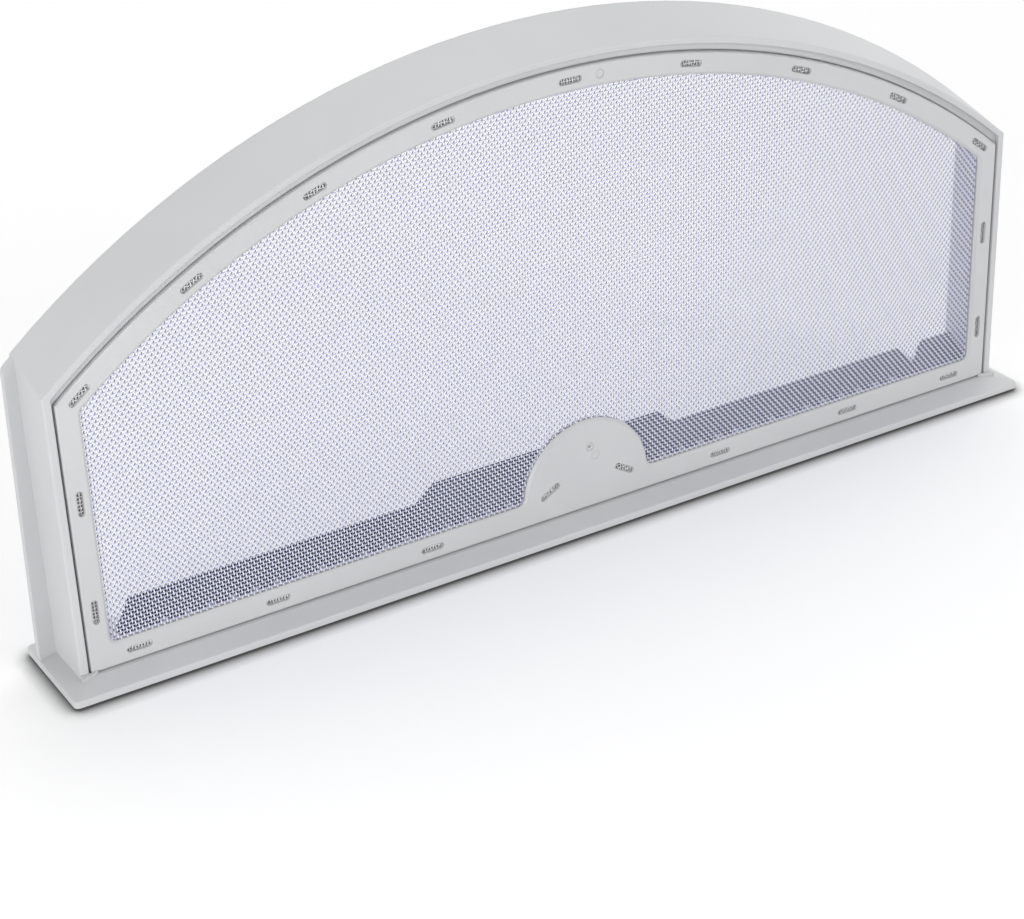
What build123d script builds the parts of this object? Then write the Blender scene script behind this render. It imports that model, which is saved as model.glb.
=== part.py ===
from build123d import *
from math import asin, cos, degrees, radians, sin, sqrt
import os

# Arched lint filter of a tumble dryer, standing on its base flange.
# X runs along the width, Y from the front (minus) to the back (plus), Z up.
# All sizes in millimetres.

# Base flange
base_width = 350.0
base_depth = 37.2
base_thick = 4.9
base_rim = 3.0
base_slope = 7.4
base_lift = 1.0
base_step = 3.0
base_corner = 1.6
base_inner = 1.0
base_edge = 0.5

# Shell standing on the base
shell_width = 339.0
side_height = 92.5
arch_height = 154.05
wall = 2.2
front_step = 8.45
shell_depth = 21.15
flare = 6.0
lip_edge = 0.8
crease_edge = 0.9

# Side rails at the back of the shell
rail_out = 3.3
rail_spread = 1.8
rail_thick = 2.8
rail_corner = 2.5

# Front rim around the screen
lip_width = 2.6
lip_thin = 0.7
ledge_width = 0.5
ledge_drop = 1.6
crown_drop = 0.95
seat_width = 5.0
seat_thick = 1.8
foot_out = 2.2
foot_run = 5.6
foot_rise = 0.9
foot_sink = 0.9

# Screen frame
frame_gap = 0.35
frame_foot = 0.3
frame_thick = 2.4
frame_band = 7.0
floor_band = 7.5
frame_edge = 0.6
window_bevel = 0.8
window_corner = 2.4
moon_radius = 23.0
moon_place = 2.6
moon_foot = 2.8
slot_length = 7.8
slot_width = 2.0
arch_slot_count = 9
arch_slot_share = 0.959
floor_slot_shares = (0.325, 0.641, 0.908)
side_slot_shares = (0.263, 0.638)
moon_slot_reach = 13.9
moon_slot_rise = 2.1
moon_slot_tilt = 30.0
gate_radius = 1.4
gate_depth = 0.25
gate_side = 10.1
gate_shift = 1.1
gate_rise = 13.5
dot_radius = 0.45
dot_depth = 0.7
stamp_side = 2.0
stamp_drop = 3.4

# Woven screen
mesh_thick = 0.5
mesh_cover = 1.1
mesh_margin = 2.0
ridge_width = 1.2
ridge_height = 0.2
gap_size = 2.2
gap_columns = 18
gap_rows = 8
cells_per_gap = 3

# Seal strip on the floor
seal_thick = 1.2
seal_wall = 1.5
seal_side = 0.5
seal_inset = 2.0
seal_short = 16.3
seal_cut = 5.0
seal_height = 9.4
seal_rise = 5.2
seal_middle = 91.0
seal_slope = 6.0
notch_end = 15.9
notch_inner = 7.6
notch_outer = 3.2
notch_floor = 1.3
return_thick = 1.2
peg_size = 2.2
peg_proud = 0.5
peg_pitch = 7.42
peg_count = 38
peg_place = 3.5

# Places that follow from the sizes above
base_front = -base_depth / 2
face_y = base_front + front_step
ledge_y = face_y + ledge_drop
seat_y = face_y + frame_thick
room_y = seat_y + seat_thick
shell_back = face_y + shell_depth
rail_front = shell_back - rail_thick
seal_back = shell_back - seal_inset
half = shell_width / 2
rise = arch_height - side_height
arch_radius = (half**2 + rise**2) / (2 * rise)
arch_centre = arch_height - arch_radius
arch_span = degrees(asin(half / arch_radius))
rim_in = lip_width + ledge_width
frame_in = rim_in + frame_gap
frame_bottom = base_thick + frame_foot
frame_top = arch_height - frame_in - crown_drop
window_in = frame_in + frame_band
window_bottom = frame_bottom + floor_band
mesh_in = frame_in + mesh_margin
mesh_front = face_y + mesh_cover
mesh_back = mesh_front + mesh_thick
over = 1.0


def plane_at(y):
    """Upright working plane facing the front, at the given depth."""
    return Plane.XZ.offset(-y)


def lift_at(y):
    """Height the flared arch has gained at the given depth."""
    return flare * (y - face_y) / shell_depth


def arch_face(inset, bottom, lift=0.0, widen=0.0, spread=0.0, crown=0.0):
    """Closed arched outline, inset from the shell's outer front outline."""
    side = half - inset + widen
    foot = side + spread
    radius = arch_radius - inset - crown
    centre = arch_centre + lift
    corner = centre + sqrt(radius**2 - side**2)
    with BuildLine() as outline:
        Polyline((-side, corner), (-foot, bottom), (foot, bottom), (side, corner))
        ThreePointArc((side, corner), (0, centre + radius), (-side, corner))
    make_face(outline.edges())


def window_face(inset):
    """Screen window: the arched opening less the half-moon pad."""
    with BuildSketch(Plane.XY) as opening:
        arch_face(window_in + inset, window_bottom + inset, crown=crown_drop)
        fillet(opening.vertices(), window_corner)
        with Locations((moon_place, window_bottom)):
            Circle(moon_radius + inset, mode=Mode.SUBTRACT)
        feet = opening.vertices().group_by(Axis.Y)[0].sort_by(Axis.X)[1:3]
        fillet(feet, moon_foot)
    add(opening.sketch)


def slot_spots():
    """Places of the small windows along the frame and in the half-moon."""
    middle = arch_radius - frame_in - crown_drop - frame_band / 2
    reach = half - frame_in
    floor = frame_bottom + floor_band / 2
    side = reach - frame_band / 2
    spots = []
    for place in range(arch_slot_count):
        angle = arch_span * arch_slot_share * (2 * place / (arch_slot_count - 1) - 1)
        turn = radians(angle)
        spots.append(Location((middle * sin(turn), arch_centre + middle * cos(turn)), -angle))
    for hand in (-1, 1):
        spots += [Location((hand * share * reach, floor)) for share in floor_slot_shares]
        spots += [Location((hand * side, share * side_height), 90) for share in side_slot_shares]
        moon_slot = (moon_place + hand * moon_slot_reach, window_bottom + moon_slot_rise)
        spots.append(Location(moon_slot, -hand * moon_slot_tilt))
    return spots


peg_places = [((i - (peg_count - 1) / 2) * peg_pitch, peg_place) for i in range(peg_count)]

# Housing: base flange, flared shell, rim, seat, rails and floor pegs in one moulding
with BuildPart() as housing:
    with BuildSketch(plane_at(face_y)):
        arch_face(0, base_thick / 2)
    with BuildSketch(plane_at(shell_back)):
        arch_face(0, base_thick / 2, lift_at(shell_back))
    loft(ruled=True)
    upper = housing.edges().filter_by(lambda e: e.center().Z > base_thick)
    sides = upper.filter_by(lambda e: abs(e.center().X) > half - over)
    creases = sides.filter_by(lambda e: abs(e.center().Y - face_y - shell_depth / 2) < over)
    fillet(creases, crease_edge)
    front_edges = housing.faces().sort_by(Axis.Y)[0].edges()
    fillet(front_edges.filter_by(lambda e: e.center().Z > base_thick), lip_edge)
    with BuildSketch(plane_at(shell_back)) as rail:
        arch_face(0, base_thick / 2, lift_at(rail_front), rail_out, rail_spread)
        fillet(rail.vertices().group_by(Axis.Y)[-1], rail_corner)
    extrude(amount=rail_thick)
    with BuildSketch(plane_at(room_y)):
        arch_face(wall, base_thick, lift_at(room_y))
    with BuildSketch(plane_at(shell_back + over)):
        arch_face(wall, base_thick, lift_at(shell_back + over))
    loft(ruled=True, mode=Mode.SUBTRACT)
    with BuildSketch(plane_at(seat_y)):
        arch_face(rim_in, base_thick, crown=crown_drop)
    extrude(amount=seat_y - face_y + over, mode=Mode.SUBTRACT)
    with BuildSketch(plane_at(ledge_y)):
        arch_face(lip_width, base_thick, crown=-lip_thin)
    extrude(amount=ledge_y - face_y + over, mode=Mode.SUBTRACT)
    with BuildSketch(plane_at(room_y + over)):
        arch_face(frame_in + seat_width, frame_bottom + seat_width, crown=crown_drop)
    extrude(amount=seat_thick + 2 * over, mode=Mode.SUBTRACT)
    with BuildPart(mode=Mode.ADD) as flange:
        with BuildSketch(Plane.XY.offset(base_lift)):
            RectangleRounded(base_width, base_depth, base_corner)
        extrude(amount=base_rim - base_lift)
        with BuildSketch(Plane.XY.offset(base_rim)):
            RectangleRounded(base_width, base_depth, base_corner)
        with BuildSketch(Plane.XY.offset(base_thick)):
            RectangleRounded(base_width - 2 * base_slope, base_depth - 2 * base_slope, base_inner)
        loft(ruled=True)
        fillet(flange.edges().filter_by(lambda e: abs(e.center().Z - base_rim) < base_edge / 2), base_edge)
        with BuildSketch(Plane.XY):
            RectangleRounded(base_width - 2 * base_step, base_depth - 2 * base_step, base_corner)
        with BuildSketch(Plane.XY.offset(base_lift)):
            RectangleRounded(base_width, base_depth, base_corner)
        loft(ruled=True)
    with BuildSketch(Plane.XY.offset(base_thick)):
        with Locations(*peg_places):
            Rectangle(peg_size, peg_size)
    extrude(amount=seal_thick + peg_proud)
    with BuildSketch(Plane.XY.offset(base_thick - foot_sink)):
        for hand in (-1, 1):
            with BuildLine():
                Polyline(
                    (hand * half, face_y),
                    (hand * half, face_y - foot_out),
                    (hand * (half - foot_run), face_y),
                    close=True,
                )
            make_face()
    extrude(amount=foot_sink + foot_rise)
housing.part.label = "housing"

# Screen frame: arched panel with the half-moon pad, moulded round the mesh
with BuildPart() as screen_frame:
    with BuildSketch(plane_at(seat_y)):
        arch_face(frame_in, frame_bottom, crown=crown_drop)
    extrude(amount=frame_thick)
    rim = screen_frame.faces().sort_by(Axis.Y)[0].edges()
    fillet(rim, frame_edge)
    with BuildSketch(plane_at(seat_y)):
        window_face(0)
    extrude(amount=frame_thick, mode=Mode.SUBTRACT)
    mouth = screen_frame.faces().sort_by(Axis.Y)[0].inner_wires()[0].edges()
    chamfer(mouth, window_bevel)
    with BuildSketch(plane_at(mesh_front)):
        with Locations(*slot_spots()):
            SlotOverall(slot_length, slot_width)
    extrude(amount=mesh_cover, mode=Mode.SUBTRACT)
    with BuildSketch(plane_at(seat_y)):
        with Locations(*slot_spots()):
            Rectangle(slot_length - slot_width, slot_width)
    extrude(amount=seat_y - mesh_back, mode=Mode.SUBTRACT)
    gate = (moon_place + gate_shift, window_bottom + gate_rise)
    with BuildSketch(plane_at(face_y + gate_depth)):
        with Locations((gate_side, frame_top - frame_band / 2), gate):
            Circle(gate_radius)
    extrude(amount=gate_depth, mode=Mode.SUBTRACT)
    with BuildSketch(plane_at(face_y + gate_depth / 2)):
        with Locations((gate[0] + stamp_side, gate[1] - stamp_drop)):
            Circle(gate_radius)
    extrude(amount=gate_depth / 2, mode=Mode.SUBTRACT)
    with BuildSketch(plane_at(face_y + dot_depth)):
        with Locations(gate):
            Circle(dot_radius)
    extrude(amount=dot_depth, mode=Mode.SUBTRACT)
    with BuildSketch(plane_at(mesh_back)):
        arch_face(mesh_in, frame_bottom + mesh_margin, crown=crown_drop)
    extrude(amount=mesh_thick, mode=Mode.SUBTRACT)
screen_frame.part.label = "screen_frame"

# Woven screen: one thin wall with cross ridges on its two faces and a field of gaps
window_side = half - window_in
window_top = frame_top - frame_band
ridge_clear = 0.6
columns = gap_columns * cells_per_gap
rows = gap_rows * cells_per_gap
cell_width = 2 * window_side / columns
cell_height = (window_top - window_bottom) / rows
cell_levels = [window_bottom + level * cell_height for level in range(1, rows)]


def gap_places():
    """Middles of the cells that are left open, clear of the frame and the half-moon."""
    clear = window_in + gap_size
    places = []
    for row in range(gap_rows):
        z = window_bottom + (row + 0.5) * cells_per_gap * cell_height
        for column in range(gap_columns):
            x = (column + 0.5) * cells_per_gap * cell_width - window_side
            under = sqrt(x**2 + (z - arch_centre) ** 2) < arch_radius - crown_drop - clear
            outside = sqrt((x - moon_place) ** 2 + (z - window_bottom) ** 2) > moon_radius + 2 * gap_size
            if abs(x) < half - clear and under and outside:
                places.append((x, z))
    return places


with BuildPart() as screen_mesh:
    with BuildSketch(plane_at(mesh_back)):
        arch_face(mesh_in, frame_bottom + mesh_margin, crown=crown_drop)
    extrude(amount=mesh_thick)
    with BuildPart(mode=Mode.ADD) as weave:
        with BuildSketch(plane_at(mesh_back + ridge_height)):
            with Locations((0, window_top / 2)):
                with GridLocations(cell_width, cell_height, columns - 1, 1):
                    Rectangle(ridge_width, 2 * window_top)
        extrude(amount=ridge_height)
        with BuildSketch(plane_at(mesh_front)):
            with Locations(*[(0, level) for level in cell_levels]):
                Rectangle(2 * half, ridge_width)
        extrude(amount=ridge_height)
        with BuildSketch(plane_at(mesh_back + ridge_height + over)):
            window_face(ridge_clear)
        extrude(amount=mesh_thick + 2 * ridge_height + 2 * over, mode=Mode.INTERSECT)
    with BuildSketch(plane_at(mesh_back + ridge_height + over)):
        with Locations(*gap_places()):
            Rectangle(gap_size, gap_size)
    extrude(amount=mesh_thick + 2 * ridge_height + 2 * over, mode=Mode.SUBTRACT)
screen_mesh.part.label = "screen_mesh"

# Seal strip: dark angle strip on the floor, staked on the pegs
seal_half = half - wall - seal_side
seal_top = base_thick + seal_height
seal_peak = seal_top + seal_rise
seal_low = base_thick + notch_floor
flat = seal_middle / 2
notch_place = seal_half - notch_end
seal_left = seal_short - seal_half
with BuildPart() as seal_strip:
    with BuildSketch(Plane.XY.offset(base_thick)):
        with Locations(((seal_left + seal_half) / 2, (room_y + seal_back) / 2)):
            Rectangle(seal_half - seal_left, seal_back - room_y)
        with Locations(*peg_places):
            Rectangle(peg_size, peg_size, mode=Mode.SUBTRACT)
    extrude(amount=seal_thick)
    with BuildSketch(plane_at(seal_back)):
        with BuildLine():
            Polyline(
                (seal_left, base_thick),
                (seal_half, base_thick),
                (seal_half, seal_top),
                (notch_place + notch_outer, seal_top),
                (notch_place, seal_low),
                (notch_place - notch_inner, seal_top),
                (flat + seal_slope / 2, seal_top),
                (flat - seal_slope / 2, seal_peak),
                (-flat + seal_slope / 2, seal_peak),
                (-flat - seal_slope / 2, seal_top),
                (seal_left + seal_cut, seal_top),
                close=True,
            )
        make_face()
    extrude(amount=seal_wall)
    with BuildSketch(Plane.YZ.offset(seal_half - return_thick)):
        with BuildLine():
            Polyline(
                (room_y, base_thick),
                (seal_back, base_thick),
                (seal_back, seal_top),
                (room_y, base_thick + seal_thick),
                close=True,
            )
        make_face()
    extrude(amount=return_thick)
seal_strip.part.label = "seal_strip"

os.makedirs("parts", exist_ok=True)
export_step(housing.part, "parts/housing.step")
export_step(screen_frame.part, "parts/screen_frame.step")
export_step(screen_mesh.part, "parts/screen_mesh.step")
export_step(seal_strip.part, "parts/seal_strip.step")
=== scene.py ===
import logging
import math
from dataclasses import dataclass
from enum import Enum
from typing import Iterator

import bmesh
import bpy
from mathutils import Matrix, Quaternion, Vector


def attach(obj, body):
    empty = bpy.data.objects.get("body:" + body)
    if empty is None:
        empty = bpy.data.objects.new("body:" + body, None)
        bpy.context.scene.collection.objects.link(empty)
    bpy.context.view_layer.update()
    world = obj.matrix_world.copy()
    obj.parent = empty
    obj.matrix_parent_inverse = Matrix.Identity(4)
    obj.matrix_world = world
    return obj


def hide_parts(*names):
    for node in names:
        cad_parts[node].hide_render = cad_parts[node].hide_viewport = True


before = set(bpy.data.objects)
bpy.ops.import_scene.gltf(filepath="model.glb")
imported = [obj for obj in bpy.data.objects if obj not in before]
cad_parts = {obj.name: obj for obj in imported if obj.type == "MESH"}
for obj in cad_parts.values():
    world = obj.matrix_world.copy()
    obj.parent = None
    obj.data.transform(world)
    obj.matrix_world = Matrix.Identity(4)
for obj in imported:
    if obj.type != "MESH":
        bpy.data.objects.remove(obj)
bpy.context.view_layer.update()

# Looks of an arched tumble dryer lint filter: satin moulded plastic, a woven screen and a dark seal.
# Everything is in metres, in the frame of the solids: X along the width, Y to the back, Z up.

LOG = logging.getLogger("lint_filter")
MM = 0.001
IMAGE_SIZE = (1024, 919)


class Slot(Enum):
    """Material slots of the record."""

    SHELL = "shell_plastic"
    FRAME = "frame_plastic"
    WEAVE = "mesh_weave"
    SEAL = "seal_rubber"


class Run(Enum):
    """Directions that a thread of the weave can run in."""

    WARP = "warp"
    WEFT = "weft"


class NodeSheet:
    """Small helper that places and joins the nodes of one node tree."""

    def __init__(self, tree: bpy.types.NodeTree) -> None:
        """Keep the tree and empty it."""
        self.tree = tree
        self.tree.nodes.clear()

    def add(self, kind: str, at: tuple[float, float], **values: object) -> bpy.types.Node:
        """Add a node and set its plain attributes.

        Args:
            kind: Node type name.
            at: Place of the node in the editor.
            **values: Attributes of the node, such as operation.

        Returns:
            The new node.
        """
        node = self.tree.nodes.new(kind)
        node.location = at
        for key, value in values.items():
            setattr(node, key, value)
        return node

    def join(self, source: bpy.types.NodeSocket, target: bpy.types.NodeSocket) -> None:
        """Link one socket to another."""
        self.tree.links.new(source, target)


class MouldedSkin:
    """Shared effect: the fine spark-eroded grain and faint flow marks of moulded plastic."""

    name = "moulded_skin"

    def group(self) -> bpy.types.NodeTree:
        """Build the node group once.

        Returns:
            The group, with the outputs Color, Roughness and Height.
        """
        made = bpy.data.node_groups.get(self.name)
        if made:
            return made
        tree = bpy.data.node_groups.new(self.name, "ShaderNodeTree")
        face = tree.interface
        for label, kind, value in (
            ("Tone", "NodeSocketColor", (0.6, 0.6, 0.6, 1.0)),
            ("Shade", "NodeSocketColor", (0.5, 0.5, 0.5, 1.0)),
            ("Flow Scale", "NodeSocketFloat", 18.0),
            ("Grain Scale", "NodeSocketFloat", 2600.0),
            ("Gloss", "NodeSocketFloat", 0.38),
            ("Matt", "NodeSocketFloat", 0.5),
        ):
            face.new_socket(label, in_out="INPUT", socket_type=kind).default_value = value
        face.new_socket("Color", in_out="OUTPUT", socket_type="NodeSocketColor")
        face.new_socket("Roughness", in_out="OUTPUT", socket_type="NodeSocketFloat")
        face.new_socket("Height", in_out="OUTPUT", socket_type="NodeSocketFloat")
        sheet = NodeSheet(tree)
        inside = sheet.add("NodeGroupInput", (-900, 0))
        outside = sheet.add("NodeGroupOutput", (700, 0))
        place = sheet.add("ShaderNodeTexCoord", (-900, -300))
        flow = sheet.add("ShaderNodeTexNoise", (-600, 200))
        flow.inputs["Detail"].default_value = 3.0
        flow.inputs["Distortion"].default_value = 0.6
        grain = sheet.add("ShaderNodeTexNoise", (-600, -150))
        grain.inputs["Detail"].default_value = 2.0
        speck = sheet.add("ShaderNodeTexVoronoi", (-600, -450))
        sheet.join(place.outputs["Object"], flow.inputs["Vector"])
        sheet.join(place.outputs["Object"], grain.inputs["Vector"])
        sheet.join(place.outputs["Object"], speck.inputs["Vector"])
        sheet.join(inside.outputs["Flow Scale"], flow.inputs["Scale"])
        sheet.join(inside.outputs["Grain Scale"], grain.inputs["Scale"])
        sheet.join(inside.outputs["Grain Scale"], speck.inputs["Scale"])
        both = sheet.add("ShaderNodeMath", (-350, 60), operation="MULTIPLY_ADD")
        both.inputs[1].default_value = 0.3
        sheet.join(grain.outputs["Fac"], both.inputs[0])
        sheet.join(flow.outputs["Fac"], both.inputs[2])
        spread = sheet.add("ShaderNodeMapRange", (-120, 60))
        spread.inputs["From Min"].default_value = 0.4
        spread.inputs["From Max"].default_value = 0.9
        sheet.join(both.outputs[0], spread.inputs["Value"])
        tint = sheet.add("ShaderNodeMix", (150, 200), data_type="RGBA")
        sheet.join(spread.outputs["Result"], tint.inputs["Factor"])
        sheet.join(inside.outputs["Shade"], tint.inputs[6])
        sheet.join(inside.outputs["Tone"], tint.inputs[7])
        dull = sheet.add("ShaderNodeMapRange", (150, -60))
        sheet.join(grain.outputs["Fac"], dull.inputs["Value"])
        sheet.join(inside.outputs["Gloss"], dull.inputs["To Min"])
        sheet.join(inside.outputs["Matt"], dull.inputs["To Max"])
        pit = sheet.add("ShaderNodeMath", (150, -350), operation="MULTIPLY_ADD")
        pit.inputs[1].default_value = 0.5
        sheet.join(speck.outputs["Distance"], pit.inputs[0])
        sheet.join(grain.outputs["Fac"], pit.inputs[2])
        sheet.join(tint.outputs[2], outside.inputs["Color"])
        sheet.join(dull.outputs["Result"], outside.inputs["Roughness"])
        sheet.join(pit.outputs[0], outside.inputs["Height"])
        return tree


class WeaveShade:
    """Shared effect: mask of the painted shade on the stretches of the threads that lean forward between two
    crossings.
    """

    name = "weave_shade"

    def group(self) -> bpy.types.NodeTree:
        """Build the node group once.

        Returns:
            The group, with the output Mask, which is one on the stretches that get the painted shade.
        """
        made = bpy.data.node_groups.get(self.name)
        if made:
            return made
        tree = bpy.data.node_groups.new(self.name, "ShaderNodeTree")
        face = tree.interface
        for label in ("Column Scale", "Column Shift", "Row Scale", "Row Shift"):
            face.new_socket(label, in_out="INPUT", socket_type="NodeSocketFloat")
        face.new_socket("Mask", in_out="OUTPUT", socket_type="NodeSocketFloat")
        sheet = NodeSheet(tree)
        inside = sheet.add("NodeGroupInput", (-900, -200))
        outside = sheet.add("NodeGroupOutput", (500, 0))
        place = sheet.add("ShaderNodeTexCoord", (-900, 100))
        split = sheet.add("ShaderNodeSeparateXYZ", (-700, 100))
        sheet.join(place.outputs["Object"], split.inputs["Vector"])
        counts = []
        for axis, label, low in (("X", "Column", 100), ("Z", "Row", -150)):
            scaled = sheet.add("ShaderNodeMath", (-500, low), operation="MULTIPLY_ADD")
            count = sheet.add("ShaderNodeMath", (-300, low), operation="FLOOR")
            sheet.join(split.outputs[axis], scaled.inputs[0])
            sheet.join(inside.outputs[f"{label} Scale"], scaled.inputs[1])
            sheet.join(inside.outputs[f"{label} Shift"], scaled.inputs[2])
            sheet.join(scaled.outputs[0], count.inputs[0])
            counts.append(count)
        both = sheet.add("ShaderNodeMath", (-100, 0), operation="ADD")
        odd = sheet.add("ShaderNodeMath", (100, 0), operation="FLOORED_MODULO")
        odd.inputs[1].default_value = 2.0
        even = sheet.add("ShaderNodeMath", (300, 0), operation="LESS_THAN")
        even.inputs[1].default_value = 0.5
        sheet.join(counts[0].outputs[0], both.inputs[0])
        sheet.join(counts[1].outputs[0], both.inputs[1])
        sheet.join(both.outputs[0], odd.inputs[0])
        sheet.join(odd.outputs[0], even.inputs[0])
        sheet.join(even.outputs[0], outside.inputs["Mask"])
        return tree


class MouldedBorder:
    """Shared effect: the part of the weave that lies in the moulded frame, outside the screen's window."""

    name = "moulded_border"

    def group(self) -> bpy.types.NodeTree:
        """Build the node group once.

        Returns:
            The group, with the output Mask, which is one outside the window.
        """
        made = bpy.data.node_groups.get(self.name)
        if made:
            return made
        tree = bpy.data.node_groups.new(self.name, "ShaderNodeTree")
        face = tree.interface
        for label in ("Side", "Bottom", "Arch Radius", "Pad Radius"):
            face.new_socket(label, in_out="INPUT", socket_type="NodeSocketFloat")
        for label in ("Arch Centre", "Pad Centre"):
            face.new_socket(label, in_out="INPUT", socket_type="NodeSocketVector")
        face.new_socket("Mask", in_out="OUTPUT", socket_type="NodeSocketFloat")
        sheet = NodeSheet(tree)
        inside = sheet.add("NodeGroupInput", (-900, -200))
        outside = sheet.add("NodeGroupOutput", (500, 0))
        place = sheet.add("ShaderNodeTexCoord", (-1100, 100))
        split = sheet.add("ShaderNodeSeparateXYZ", (-900, 100))
        flat = sheet.add("ShaderNodeCombineXYZ", (-700, 300))
        across = sheet.add("ShaderNodeMath", (-700, 100), operation="ABSOLUTE")
        sheet.join(place.outputs["Object"], split.inputs["Vector"])
        sheet.join(split.outputs["X"], flat.inputs["X"])
        sheet.join(split.outputs["Z"], flat.inputs["Z"])
        sheet.join(split.outputs["X"], across.inputs[0])
        reach = {}
        for label, low in (("Arch", 300), ("Pad", -300)):
            far = sheet.add("ShaderNodeVectorMath", (-500, low), operation="DISTANCE")
            sheet.join(flat.outputs["Vector"], far.inputs[0])
            sheet.join(inside.outputs[f"{label} Centre"], far.inputs[1])
            reach[label] = far.outputs["Value"]
        tests = (
            ("GREATER_THAN", across.outputs[0], "Side"),
            ("LESS_THAN", split.outputs["Z"], "Bottom"),
            ("GREATER_THAN", reach["Arch"], "Arch Radius"),
            ("LESS_THAN", reach["Pad"], "Pad Radius"),
        )
        total = None
        for step, (kind, source, limit) in enumerate(tests):
            test = sheet.add("ShaderNodeMath", (-250, 300 - 200 * step), operation=kind)
            sheet.join(source, test.inputs[0])
            sheet.join(inside.outputs[limit], test.inputs[1])
            if total is None:
                total = test
                continue
            most = sheet.add("ShaderNodeMath", (0, 300 - 200 * step), operation="MAXIMUM")
            sheet.join(total.outputs[0], most.inputs[0])
            sheet.join(test.outputs[0], most.inputs[1])
            total = most
        sheet.join(total.outputs[0], outside.inputs["Mask"])
        return tree


@dataclass(frozen=True)
class Finish:
    """One surface finish, made from the shared moulded skin with its own values.

    The edge is the radius that light sees on the sharp edges of a solid, and nought leaves them sharp.
    """

    name: str
    tone: tuple[float, float, float]
    shade: tuple[float, float, float]
    flow_scale: float = 18.0
    grain_scale: float = 2600.0
    gloss: float = 0.3
    matt: float = 0.46
    relief: float = 0.02 * MM
    bump: float = 0.35
    specular: float = 0.5
    edge: float = 0.45 * MM

    def colour(self, sheet: NodeSheet, skin: bpy.types.Node) -> bpy.types.NodeSocket:
        """Colour that goes to the shader, here the plain colour of the skin."""
        return skin.outputs["Color"]

    def material(self) -> bpy.types.Material:
        """Build the material.

        Returns:
            A material whose colour, roughness and relief change over the surface.
        """
        made = bpy.data.materials.new(self.name)
        made.use_nodes = True
        sheet = NodeSheet(made.node_tree)
        skin = sheet.add("ShaderNodeGroup", (-500, 0), node_tree=MouldedSkin().group())
        skin.inputs["Tone"].default_value = (*self.tone, 1.0)
        skin.inputs["Shade"].default_value = (*self.shade, 1.0)
        skin.inputs["Flow Scale"].default_value = self.flow_scale
        skin.inputs["Grain Scale"].default_value = self.grain_scale
        skin.inputs["Gloss"].default_value = self.gloss
        skin.inputs["Matt"].default_value = self.matt
        bump = sheet.add("ShaderNodeBump", (-220, -250))
        bump.inputs["Strength"].default_value = self.bump
        bump.inputs["Distance"].default_value = self.relief
        shader = sheet.add("ShaderNodeBsdfPrincipled", (0, 0))
        shader.inputs["Specular IOR Level"].default_value = self.specular
        output = sheet.add("ShaderNodeOutputMaterial", (320, 0))
        sheet.join(self.colour(sheet, skin), shader.inputs["Base Color"])
        sheet.join(skin.outputs["Roughness"], shader.inputs["Roughness"])
        sheet.join(skin.outputs["Height"], bump.inputs["Height"])
        sheet.join(bump.outputs["Normal"], shader.inputs["Normal"])
        if self.edge:
            rounded = sheet.add("ShaderNodeBevel", (-500, -450), samples=4)
            rounded.inputs["Radius"].default_value = self.edge
            sheet.join(rounded.outputs["Normal"], bump.inputs["Normal"])
        sheet.join(shader.outputs["BSDF"], output.inputs["Surface"])
        return made


@dataclass(frozen=True)
class ThreadFinish(Finish):
    """Finish of the threads, which are paler where the moulded frame soaks them; this pale tone is lighter than
    the frame's own plastic, partly a painted light that offsets the shade inside the frame's windows.
    """

    window_side: float = 159.05 * MM
    window_bottom: float = 12.7 * MM
    window_radius: float = 252.765 * MM
    arch_centre: float = -110.115 * MM
    pad_place: float = 2.6 * MM
    pad_radius: float = 23.0 * MM
    # Pale tone of the threads in the frame: the plastic soaking them, made brighter still as painted light against
    # the shade of the windows.
    soaked_with_painted_light: tuple[float, float, float] = (0.9, 0.9, 0.905)

    def thread(self, sheet: NodeSheet, skin: bpy.types.Node) -> bpy.types.NodeSocket:
        """Colour of the thread in the open window."""
        return skin.outputs["Color"]

    def colour(self, sheet: NodeSheet, skin: bpy.types.Node) -> bpy.types.NodeSocket:
        """Mix the pale border, with its painted light, into the colour of the thread.

        Args:
            sheet: Node sheet of the material.
            skin: Group node of the moulded skin.

        Returns:
            The mixed colour.
        """
        border = sheet.add("ShaderNodeGroup", (-500, 700), node_tree=MouldedBorder().group())
        border.inputs["Side"].default_value = self.window_side
        border.inputs["Bottom"].default_value = self.window_bottom
        border.inputs["Arch Radius"].default_value = self.window_radius
        border.inputs["Arch Centre"].default_value = (0.0, 0.0, self.arch_centre)
        border.inputs["Pad Radius"].default_value = self.pad_radius
        border.inputs["Pad Centre"].default_value = (self.pad_place, 0.0, self.window_bottom)
        mixed = sheet.add("ShaderNodeMix", (-100, 400), data_type="RGBA")
        mixed.inputs[7].default_value = (*self.soaked_with_painted_light, 1.0)
        sheet.join(border.outputs["Mask"], mixed.inputs["Factor"])
        sheet.join(self.thread(sheet, skin), mixed.inputs[6])
        return mixed.outputs[2]


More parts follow.
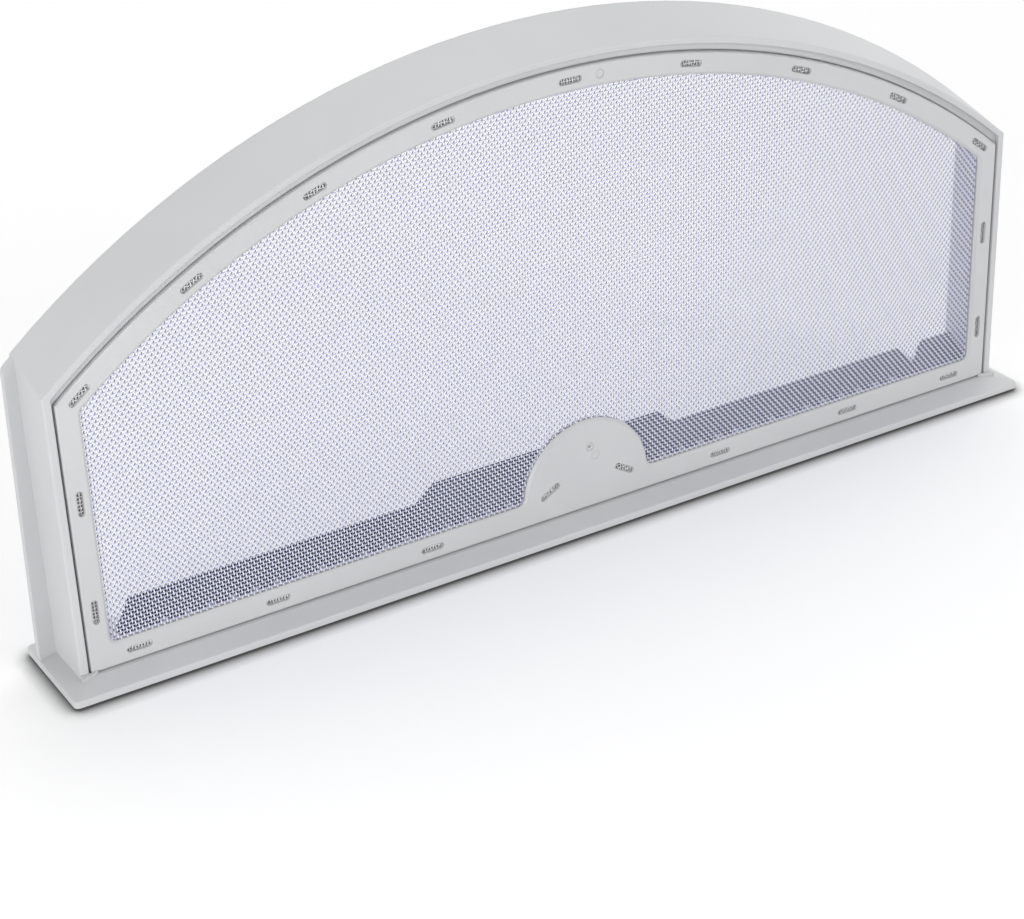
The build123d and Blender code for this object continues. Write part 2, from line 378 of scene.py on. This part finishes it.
@dataclass(frozen=True)
class LeaningFinish(ThreadFinish):
    """Finish of the upright threads, with a painted shade on the stretches where they lean forward."""

    column_scale: float = 1000.0
    column_shift: float = 0.0
    row_scale: float = 1000.0
    row_shift: float = 0.0
    # Colour of the painted shade on the forward-leaning stretches.
    painted_shade: tuple[float, float, float] = (0.24, 0.25, 0.36)

    def thread(self, sheet: NodeSheet, skin: bpy.types.Node) -> bpy.types.NodeSocket:
        """Mix the painted shade of the forward-leaning stretches into the colour of the skin.

        Args:
            sheet: Node sheet of the material.
            skin: Group node of the moulded skin.

        Returns:
            The mixed colour.
        """
        shade = sheet.add("ShaderNodeGroup", (-500, 350), node_tree=WeaveShade().group())
        shade.inputs["Column Scale"].default_value = self.column_scale
        shade.inputs["Column Shift"].default_value = self.column_shift
        shade.inputs["Row Scale"].default_value = self.row_scale
        shade.inputs["Row Shift"].default_value = self.row_shift
        mixed = sheet.add("ShaderNodeMix", (-300, 200), data_type="RGBA")
        mixed.inputs[7].default_value = (*self.painted_shade, 1.0)
        sheet.join(shade.outputs["Mask"], mixed.inputs["Factor"])
        sheet.join(skin.outputs["Color"], mixed.inputs[6])
        return mixed.outputs[2]


SHELL_PLASTIC = Finish("shell_satin_grey", (0.61, 0.615, 0.625), (0.57, 0.575, 0.585))
FRAME_PLASTIC = Finish("frame_satin_grey", (0.61, 0.615, 0.622), (0.57, 0.575, 0.583), flow_scale=24.0)
SEAL_RUBBER = Finish(
    "seal_matt_black",
    (0.016, 0.017, 0.022),
    (0.009, 0.01, 0.014),
    flow_scale=60.0,
    grain_scale=1800.0,
    gloss=0.55,
    matt=0.75,
    specular=0.3,
)
THREAD_LOOK: dict[str, float] = {
    "flow_scale": 140.0,
    "grain_scale": 5200.0,
    "gloss": 0.14,
    "matt": 0.26,
    "relief": 0.004 * MM,
    "bump": 0.2,
    "specular": 1.0,
    "edge": 0.0,
}
THREAD_LEVEL = ThreadFinish(
    "filament_level", tone=(0.58, 0.62, 0.86), shade=(0.52, 0.56, 0.8), **THREAD_LOOK
)


@dataclass
class MouldedParts:
    """The solids that keep their own shape and only get a finish."""

    body: str = "root"

    def dress(self) -> Iterator[bpy.types.Object]:
        """Give each kept solid its finish.

        Returns:
            The dressed objects, one after another.
        """
        for node, finish, slot in (
            ("housing", SHELL_PLASTIC, Slot.SHELL),
            ("screen_frame", FRAME_PLASTIC, Slot.FRAME),
            ("seal_strip", SEAL_RUBBER, Slot.SEAL),
        ):
            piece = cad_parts[node]
            piece.data.materials.clear()
            piece.data.materials.append(finish.material())
            yield piece


@dataclass
class ScreenWeave:
    """Plain weave of white filament, stretched in the arched screen frame."""

    side: float = 164.05 * MM
    bottom: float = 7.2 * MM
    arch_radius: float = 257.765 * MM
    arch_centre: float = -110.115 * MM
    middle: float = -8.8 * MM
    warp_pitch: float = 0.957 * MM
    weft_pitch: float = 1.15 * MM
    warp_thick: float = 0.45 * MM
    weft_thick: float = 0.36 * MM
    warp_wave: float = 0.34 * MM
    weft_wave: float = 0.1 * MM
    weld: float = 0.001 * MM
    knuckle: float = 0.2 * MM
    inner_share: float = 0.43
    body: str = "root"

    def top(self, x: float) -> float:
        """Height of the arched outline at a place along the width."""
        return self.arch_centre + math.sqrt(self.arch_radius**2 - x**2)

    def reach(self, z: float) -> float:
        """Half of the outline's width at a height."""
        chord = self.arch_radius**2 - (z - self.arch_centre) ** 2
        return min(self.side, math.sqrt(max(chord, 0.0)))

    def columns(self) -> list[float]:
        """Places of the upright threads."""
        count = int(2 * self.side / self.warp_pitch)
        return [(i - (count - 1) / 2) * self.warp_pitch for i in range(count)]

    def rows(self) -> list[float]:
        """Heights of the level threads."""
        count = int((self.top(0.0) - self.bottom) / self.weft_pitch)
        return [self.bottom + (j + 0.5) * self.weft_pitch for j in range(count)]

    def upright(self, index: int, x: float, rows: list[float]) -> list[tuple[float, float, float]]:
        """Points of one upright thread, in front of every second level thread.

        Args:
            index: Number of the thread, which sets where it passes in front.
            x: Place of the thread along the width.
            rows: Heights of the level threads.

        Returns:
            The points from the bottom edge to the arch.
        """
        top = self.top(x)
        met = [(j, z) for j, z in enumerate(rows) if z < top - self.weft_pitch / 2]
        points = [(x, self.middle, self.bottom)]
        points += [(x, self.middle - self.warp_wave * (-1) ** (index + j), z) for j, z in met]
        return points + [(x, self.middle, top)]

    def level(
        self, index: int, z: float, columns: list[float], ends: tuple[float, float]
    ) -> list[tuple[float, float, float]]:
        """Points of one level thread between the two ends of a panel.

        Args:
            index: Number of the thread, which sets where it passes in front.
            z: Height of the thread.
            columns: Places of the upright threads.
            ends: Panel ends along the width.

        Returns:
            The points from left to right, or an empty list where the arch leaves no room.
        """
        low, high = max(ends[0], -self.reach(z)), min(ends[1], self.reach(z))
        if high - low < self.warp_pitch:
            return []
        margin = self.warp_pitch / 4
        met = [(i, x) for i, x in enumerate(columns) if low + margin < x < high - margin]
        points = [(low, self.middle, z)]
        points += [(x, self.middle + self.weft_wave * (-1) ** (i + index), z) for i, x in met]
        return points + [(high, self.middle, z)]

    def strands(
        self, name: str, runs: list[list[tuple[float, float, float]]], thick: float
    ) -> bpy.types.Mesh:
        """Sweep a filament along each run of points.

        Args:
            name: Name of the curve.
            runs: Points of each thread.
            thick: Thread diameter.

        Returns:
            A mesh of closed tubes.
        """
        curve = bpy.data.curves.new(name, "CURVE")
        curve.dimensions = "3D"
        curve.bevel_depth = thick / 2
        curve.bevel_resolution = 0
        curve.use_fill_caps = True
        for run in runs:
            spline = curve.splines.new("POLY")
            spline.points.add(len(run) - 1)
            spline.points.foreach_set("co", [value for point in run for value in (*point, 1.0)])
        holder = bpy.data.objects.new(name, curve)
        bpy.context.scene.collection.objects.link(holder)
        graph = bpy.context.evaluated_depsgraph_get()
        mesh = bpy.data.meshes.new_from_object(holder.evaluated_get(graph))
        bpy.data.objects.remove(holder)
        bpy.data.curves.remove(curve)
        return mesh

    def finishes(self) -> dict[Run, bpy.types.Material]:
        """Make the finish of the upright and of the level threads.

        Returns:
            The material of each run of threads.
        """
        # The upright threads get a painted shade on every stretch that leans forward.
        upright = LeaningFinish(
            "filament_upright",
            tone=(0.93, 0.94, 0.99),
            shade=(0.89, 0.9, 0.97),
            column_scale=1 / self.warp_pitch,
            column_shift=len(self.columns()) / 2,
            row_scale=1 / self.weft_pitch,
            row_shift=0.5 + (self.knuckle - self.bottom) / self.weft_pitch,
            **THREAD_LOOK,
        )
        return {Run.WARP: upright.material(), Run.WEFT: THREAD_LEVEL.material()}

    def panel(
        self, name: str, ends: tuple[float, float], looks: dict[Run, bpy.types.Material]
    ) -> bpy.types.Object:
        """Weave one panel of the screen from its upright and level threads.

        Args:
            name: Name of the piece.
            ends: Panel ends along the width.
            looks: Finish of each run of threads.

        Returns:
            The woven panel as one mesh object.
        """
        columns, rows = self.columns(), self.rows()
        warp = [self.upright(i, x, rows) for i, x in enumerate(columns) if ends[0] < x < ends[1]]
        weft = [run for run in (self.level(j, z, columns, ends) for j, z in enumerate(rows)) if run]
        meshes = {
            Run.WARP: self.strands(f"{name}_{Run.WARP.value}", warp, self.warp_thick),
            Run.WEFT: self.strands(f"{name}_{Run.WEFT.value}", weft, self.weft_thick),
        }
        for run, mesh in meshes.items():
            mesh.materials.append(looks[run])
        piece = bpy.data.objects.new(name, meshes[Run.WARP])
        other = bpy.data.objects.new(f"{name}_level", meshes[Run.WEFT])
        for holder in (piece, other):
            bpy.context.scene.collection.objects.link(holder)
        both = [piece, other]
        with bpy.context.temp_override(
            active_object=piece, object=piece, selected_objects=both, selected_editable_objects=both
        ):
            bpy.ops.object.join()
        shape = bmesh.new()
        shape.from_mesh(piece.data)
        bmesh.ops.remove_doubles(shape, verts=shape.verts, dist=self.weld)
        shape.to_mesh(piece.data)
        shape.free()
        piece.data.name = name
        piece.data.polygons.foreach_set("use_smooth", [True] * len(piece.data.polygons))
        return piece

    def flat_area(self, ends: tuple[float, float], steps: int = 200) -> float:
        """Area of the cloth between two ends, under the arch."""
        width = (ends[1] - ends[0]) / steps
        return sum((self.top(ends[0] + (i + 0.5) * width) - self.bottom) * width for i in range(steps))

    def build(self) -> Iterator[bpy.types.Object]:
        """Weave the whole screen, in panels that keep each mesh light.

        Returns:
            The panels from left to right.
        """
        columns = self.columns()
        half_gap = self.warp_pitch / 2
        inner = min(columns, key=lambda x: abs(x - self.inner_share * self.side)) + half_gap
        middle = min(columns, key=abs) + half_gap
        left = min(columns, key=lambda x: abs(x + self.inner_share * self.side)) + half_gap
        cuts = [-self.side, left, middle, inner, self.side]
        looks = self.finishes()
        for number, ends in enumerate(zip(cuts, cuts[1:]), start=1):
            piece = self.panel(f"screen_weave_{number}", ends, looks)
            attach(piece, self.body)
            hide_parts("screen_mesh")
            tallest = max(self.top(x) for x in (*ends, 0.0) if ends[0] <= x <= ends[1]) - self.bottom
            self.flat_area(ends)
            yield piece


@dataclass
class Studio:
    """Pale floor with a painted contact shadow, soft lamps and the camera."""

    azimuth: float = 30.673
    elevation: float = 27.759
    roll: float = -2.331
    place: tuple[float, float, float] = (-351.94 * MM, -561.795 * MM, 368.114 * MM)
    focal_pixels: float = 2371.14
    sensor: float = 36.0
    floor_size: float = 12.0
    horizon: float = 1.05
    zenith: float = 0.5
    slant: float = 0.2
    floor_lift: float = 0.06
    painted_shadow_reach: float = 6.0 * MM
    painted_shadow_depth: float = 2.5
    floor_bounce: tuple[float, float, float] = (0.86, 0.86, 0.87)

    def floor(self) -> bpy.types.Object:
        """Lay the pale floor.

        Returns:
            The floor object.
        """
        bpy.ops.mesh.primitive_plane_add(size=self.floor_size)
        floor = bpy.context.object
        floor.name = "studio_floor"
        made = bpy.data.materials.new("floor_white")
        made.use_nodes = True
        sheet = NodeSheet(made.node_tree)
        path = sheet.add("ShaderNodeLightPath", (-500, 0))
        tone = sheet.add("ShaderNodeMix", (-250, 0), data_type="RGBA")
        tone.inputs[6].default_value = (*self.floor_bounce, 1.0)
        # Painted contact shadow: as the camera sees it, the floor's colour is darkened by ambient occlusion near
        # the filter.
        near = sheet.add("ShaderNodeAmbientOcclusion", (-800, -200), samples=8)
        near.inputs["Distance"].default_value = self.painted_shadow_reach
        contact = sheet.add("ShaderNodeMath", (-550, -200), operation="POWER")
        contact.inputs[1].default_value = self.painted_shadow_depth
        sheet.join(near.outputs["AO"], contact.inputs[0])
        sheet.join(contact.outputs[0], tone.inputs[7])
        lift = sheet.add("ShaderNodeMapRange", (-250, -250))
        lift.inputs["To Max"].default_value = self.floor_lift
        shader = sheet.add("ShaderNodeBsdfPrincipled", (0, 0))
        shader.inputs["Roughness"].default_value = 0.9
        shader.inputs["Specular IOR Level"].default_value = 0.1
        shader.inputs["Emission Color"].default_value = (1.0, 1.0, 1.0, 1.0)
        output = sheet.add("ShaderNodeOutputMaterial", (320, 0))
        sheet.join(path.outputs["Is Camera Ray"], tone.inputs["Factor"])
        sheet.join(path.outputs["Is Camera Ray"], lift.inputs["Value"])
        sheet.join(tone.outputs[2], shader.inputs["Base Color"])
        sheet.join(lift.outputs["Result"], shader.inputs["Emission Strength"])
        sheet.join(shader.outputs["BSDF"], output.inputs["Surface"])
        floor.data.materials.append(made)
        return floor

    def lamp(
        self, name: str, at: tuple[float, float, float], size: float, power: float
    ) -> bpy.types.Object:
        """Hang one soft lamp that points at the filter.

        Args:
            name: Name of the lamp.
            at: Place of the lamp.
            size: Side of its square face.
            power: Power in watts.

        Returns:
            The lamp object.
        """
        data = bpy.data.lights.new(name, "AREA")
        data.shape = "SQUARE"
        data.size = size
        data.energy = power
        lamp = bpy.data.objects.new(name, data)
        lamp.location = at
        aim = Vector((0.0, 0.0, 0.07)) - Vector(at)
        lamp.rotation_euler = aim.to_track_quat("-Z", "Y").to_euler()
        bpy.context.scene.collection.objects.link(lamp)
        return lamp

    def sun(self, name: str, towards: tuple[float, float, float], spread: float, level: float) -> bpy.types.Object:
        """Set one wide soft light that is the same all over the floor.

        Args:
            name: Name of the light.
            towards: Direction from the filter to the light.
            spread: Angle that the light fills, in degrees.
            level: Share of the plain level that it gives a surface facing it.

        Returns:
            The light object.
        """
        data = bpy.data.lights.new(name, "SUN")
        data.angle = math.radians(spread)
        data.energy = level * math.pi
        light = bpy.data.objects.new(name, data)
        light.rotation_euler = Vector(towards).to_track_quat("Z", "Y").to_euler()
        bpy.context.scene.collection.objects.link(light)
        return light

    def light(self) -> None:
        """Set the world, lighter at the horizon and on the right, and the lamps."""
        world = bpy.data.worlds.new("studio_world")
        world.use_nodes = True
        sheet = NodeSheet(world.node_tree)
        place = sheet.add("ShaderNodeTexCoord", (-700, 0))
        split = sheet.add("ShaderNodeSeparateXYZ", (-500, 0))
        level = sheet.add("ShaderNodeMapRange", (-250, -100))
        level.inputs["To Min"].default_value = self.horizon
        level.inputs["To Max"].default_value = self.zenith
        strength = sheet.add("ShaderNodeMath", (-50, 0), operation="MULTIPLY_ADD")
        strength.inputs[1].default_value = self.slant
        sky = sheet.add("ShaderNodeBackground", (150, 0))
        sky.inputs["Color"].default_value = (1.0, 1.0, 1.0, 1.0)
        output = sheet.add("ShaderNodeOutputWorld", (350, 0))
        sheet.join(place.outputs["Generated"], split.inputs["Vector"])
        sheet.join(split.outputs["Z"], level.inputs["Value"])
        sheet.join(split.outputs["X"], strength.inputs[0])
        sheet.join(level.outputs["Result"], strength.inputs[2])
        sheet.join(strength.outputs["Value"], sky.inputs["Strength"])
        sheet.join(sky.outputs["Background"], output.inputs["Surface"])
        bpy.context.scene.world = world
        self.sun("key_light", (0.3, 0.3, 0.9), 45.0, 0.22)
        self.sun("front_light", (0.45, -0.82, 0.35), 18.0, 0.13)
        self.lamp("left_lamp", (-0.85, -0.45, 0.1), 0.4, 3.6)

    def camera(self) -> bpy.types.Object:
        """Set the camera at the viewing angle of the photograph.

        Returns:
            The camera object.
        """
        data = bpy.data.cameras.new("studio_camera")
        data.sensor_fit = "HORIZONTAL"
        data.sensor_width = self.sensor
        data.lens = self.focal_pixels / IMAGE_SIZE[0] * self.sensor
        data.clip_start, data.clip_end = 0.02, 40.0
        camera = bpy.data.objects.new("studio_camera", data)
        turn, tip = math.radians(self.azimuth), math.radians(self.elevation)
        ahead = Vector((math.sin(turn) * math.cos(tip), math.cos(turn) * math.cos(tip), -math.sin(tip)))
        level = ahead.to_track_quat("-Z", "Y")
        camera.rotation_mode = "QUATERNION"
        camera.rotation_quaternion = level @ Quaternion((0.0, 0.0, 1.0), math.radians(self.roll))
        camera.location = self.place
        bpy.context.scene.collection.objects.link(camera)
        bpy.context.scene.camera = camera
        return camera


def main() -> None:
    """Dress the part, weave the screen and set the studio."""
    logging.basicConfig(level=logging.INFO, format="%(name)s: %(message)s")
    scene = bpy.context.scene
    scene.view_settings.view_transform = "Standard"
    for piece in MouldedParts().dress():
        LOG.info("dressed %s, %d faces", piece.name, len(piece.data.polygons))
    for piece in ScreenWeave().build():
        LOG.info("wove %s, %d faces", piece.name, len(piece.data.polygons))
    studio = Studio()
    LOG.info("laid %s", studio.floor().name)
    studio.light()
    LOG.info("set %s", studio.camera().name)


if __name__ == "__main__":
    main()
